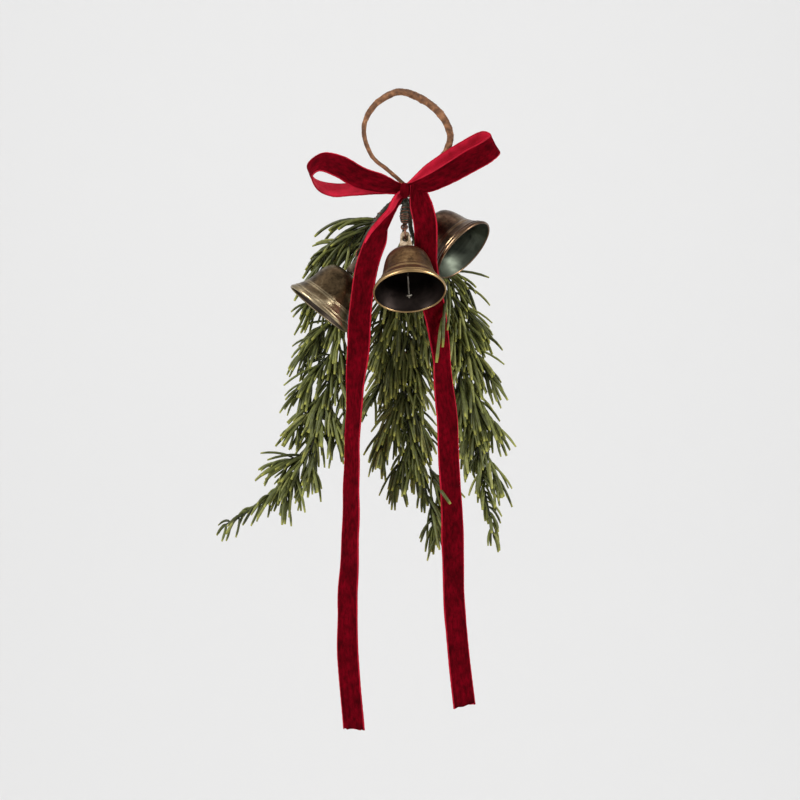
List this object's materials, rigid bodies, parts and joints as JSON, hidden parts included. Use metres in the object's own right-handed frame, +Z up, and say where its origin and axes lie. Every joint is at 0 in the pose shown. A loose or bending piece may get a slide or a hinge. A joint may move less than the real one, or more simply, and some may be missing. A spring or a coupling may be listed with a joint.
{
  "type": "hanging christmas bell ornament",
  "caption": "Hanging bell ornament: paper-wrapped wire loop, red velvet bow with long tails, faux needle foliage sprays and small wired antique-brass bells with swinging clappers.",
  "frame": {"origin": "the hook point: the inside top of the hanger loop, where a nail or hook carries it", "axes": "+Z up along the hanging ornament, -Y the front with the bow knot, +X its right as seen from the front"},
  "size_m": [0.1902, 0.0898, 0.4157],
  "materials": {
    "kraft_paper": "crinkled brown paper tape wound on wire, matt",
    "steel_wire": "thin annealed floral wire",
    "floral_tape": "dark olive waxed florist tape",
    "red_velvet": "crimson velvet ribbon with bright woven edges",
    "foliage": "soft moulded olive needles with yellowish tips",
    "aged_brass": "antique brass with a bright rubbed lip and dark patina",
    "cast_lug": "pale rough cast lug",
    "pale_brass": "plain pale brass wire and disc"
  },
  "bodies": {
    "root": {"bell_centre_stem": "floral_tape", "bell_left_stem": "floral_tape", "bell_right_stem": "floral_tape", "bow_knot": "red_velvet", "bow_loop_left": "red_velvet", "bow_loop_right": "red_velvet", "hanger_core_wire": "steel_wire", "hanger_wrap": "kraft_paper", "neck_binding": "floral_tape", "ribbon_tail_left": "red_velvet", "ribbon_tail_right": "red_velvet", "spray_centre_sprig_1": "foliage", "spray_centre_sprig_2": "foliage", "spray_centre_sprig_3": "foliage", "spray_centre_sprig_4": "foliage", "spray_centre_sprig_5": "foliage", "spray_centre_sprig_6": "foliage", "spray_centre_sprig_7": "foliage", "spray_centre_sprig_8": "foliage", "spray_centre_stem": "floral_tape", "spray_left_sprig_1": "foliage", "spray_left_sprig_10": "foliage", "spray_left_sprig_2": "foliage", "spray_left_sprig_3": "foliage", "spray_left_sprig_4": "foliage", "spray_left_sprig_5": "foliage", "spray_left_sprig_6": "foliage", "spray_left_sprig_7": "foliage", "spray_left_sprig_8": "foliage", "spray_left_sprig_9": "foliage", "spray_left_stem": "floral_tape", "spray_right_sprig_1": "foliage", "spray_right_sprig_2": "foliage", "spray_right_sprig_3": "foliage", "spray_right_sprig_4": "foliage", "spray_right_sprig_5": "foliage", "spray_right_sprig_6": "foliage", "spray_right_sprig_7": "foliage", "spray_right_sprig_8": "foliage", "spray_right_sprig_9": "foliage", "spray_right_stem": "floral_tape"},
    "bell_centre": {"bell_centre_clapper_hook": "pale_brass", "bell_centre_lug": "cast_lug", "bell_centre_shell": "aged_brass"},
    "clapper_centre": {"bell_centre_clapper_rod": "pale_brass", "bell_centre_striker": "pale_brass"},
    "ring_centre": {"bell_centre_wire_ring": "steel_wire"},
    "bell_left": {"bell_left_clapper_hook": "pale_brass", "bell_left_lug": "cast_lug", "bell_left_shell": "aged_brass"},
    "clapper_left": {"bell_left_clapper_rod": "pale_brass", "bell_left_striker": "pale_brass"},
    "ring_left": {"bell_left_wire_ring": "steel_wire"},
    "bell_right": {"bell_right_clapper_hook": "pale_brass", "bell_right_lug": "cast_lug", "bell_right_shell": "aged_brass"},
    "clapper_right": {"bell_right_clapper_rod": "pale_brass", "bell_right_striker": "pale_brass"},
    "ring_right": {"bell_right_wire_ring": "steel_wire"}
  },
  "joints": [
    {"name": "ring_swing_left", "type": "hinge", "parent": "root", "child": "ring_left", "pos_m": [-0.02398, -0.00191, -0.10136], "axis": [-0.044, 0.9976, -0.0542], "range_deg": [0, 10]},
    {"name": "bell_sway_left", "type": "hinge", "parent": "ring_left", "child": "bell_left", "pos_m": [-0.0288, -0.00244, -0.10728], "axis": [-0.7758, 0, 0.6309], "range_deg": [0, 8]},
    {"name": "clapper_swing_left", "type": "hinge", "parent": "bell_left", "child": "clapper_left", "pos_m": [-0.03975, -0.00366, -0.12075], "axis": [0.044, -0.9976, 0.0542], "range_deg": [-80, 6]},
    {"name": "ring_swing_centre", "type": "hinge", "parent": "root", "child": "ring_centre", "pos_m": [0.00095, -0.00953, -0.08785], "axis": [-0.9979, -0.0345, -0.0552], "range_deg": [0, 12]},
    {"name": "bell_sway_centre", "type": "hinge", "parent": "ring_centre", "child": "bell_centre", "pos_m": [0.00145, -0.01358, -0.09432], "axis": [0, -0.8479, 0.5302], "range_deg": [0, 10]},
    {"name": "clapper_swing_centre", "type": "hinge", "parent": "bell_centre", "child": "clapper_centre", "pos_m": [0.00258, -0.02278, -0.10905], "axis": [0.9979, 0.0345, 0.0552], "range_deg": [-74, 12]},
    {"name": "ring_swing_right", "type": "hinge", "parent": "root", "child": "ring_right", "pos_m": [0.00661, 0.01691, -0.06932], "axis": [0.3586, -0.8701, -0.338], "range_deg": [0, 10]},
    {"name": "bell_sway_right", "type": "hinge", "parent": "ring_right", "child": "bell_right", "pos_m": [0.01145, 0.02068, -0.07389], "axis": [-0.686, 0, -0.7276], "range_deg": [0, 2.5]},
    {"name": "clapper_swing_right", "type": "hinge", "parent": "bell_right", "child": "clapper_right", "pos_m": [0.02331, 0.01459, -0.08507], "axis": [-0.2545, -0.9368, 0.24], "range_deg": [0, 87]}
  ]
}
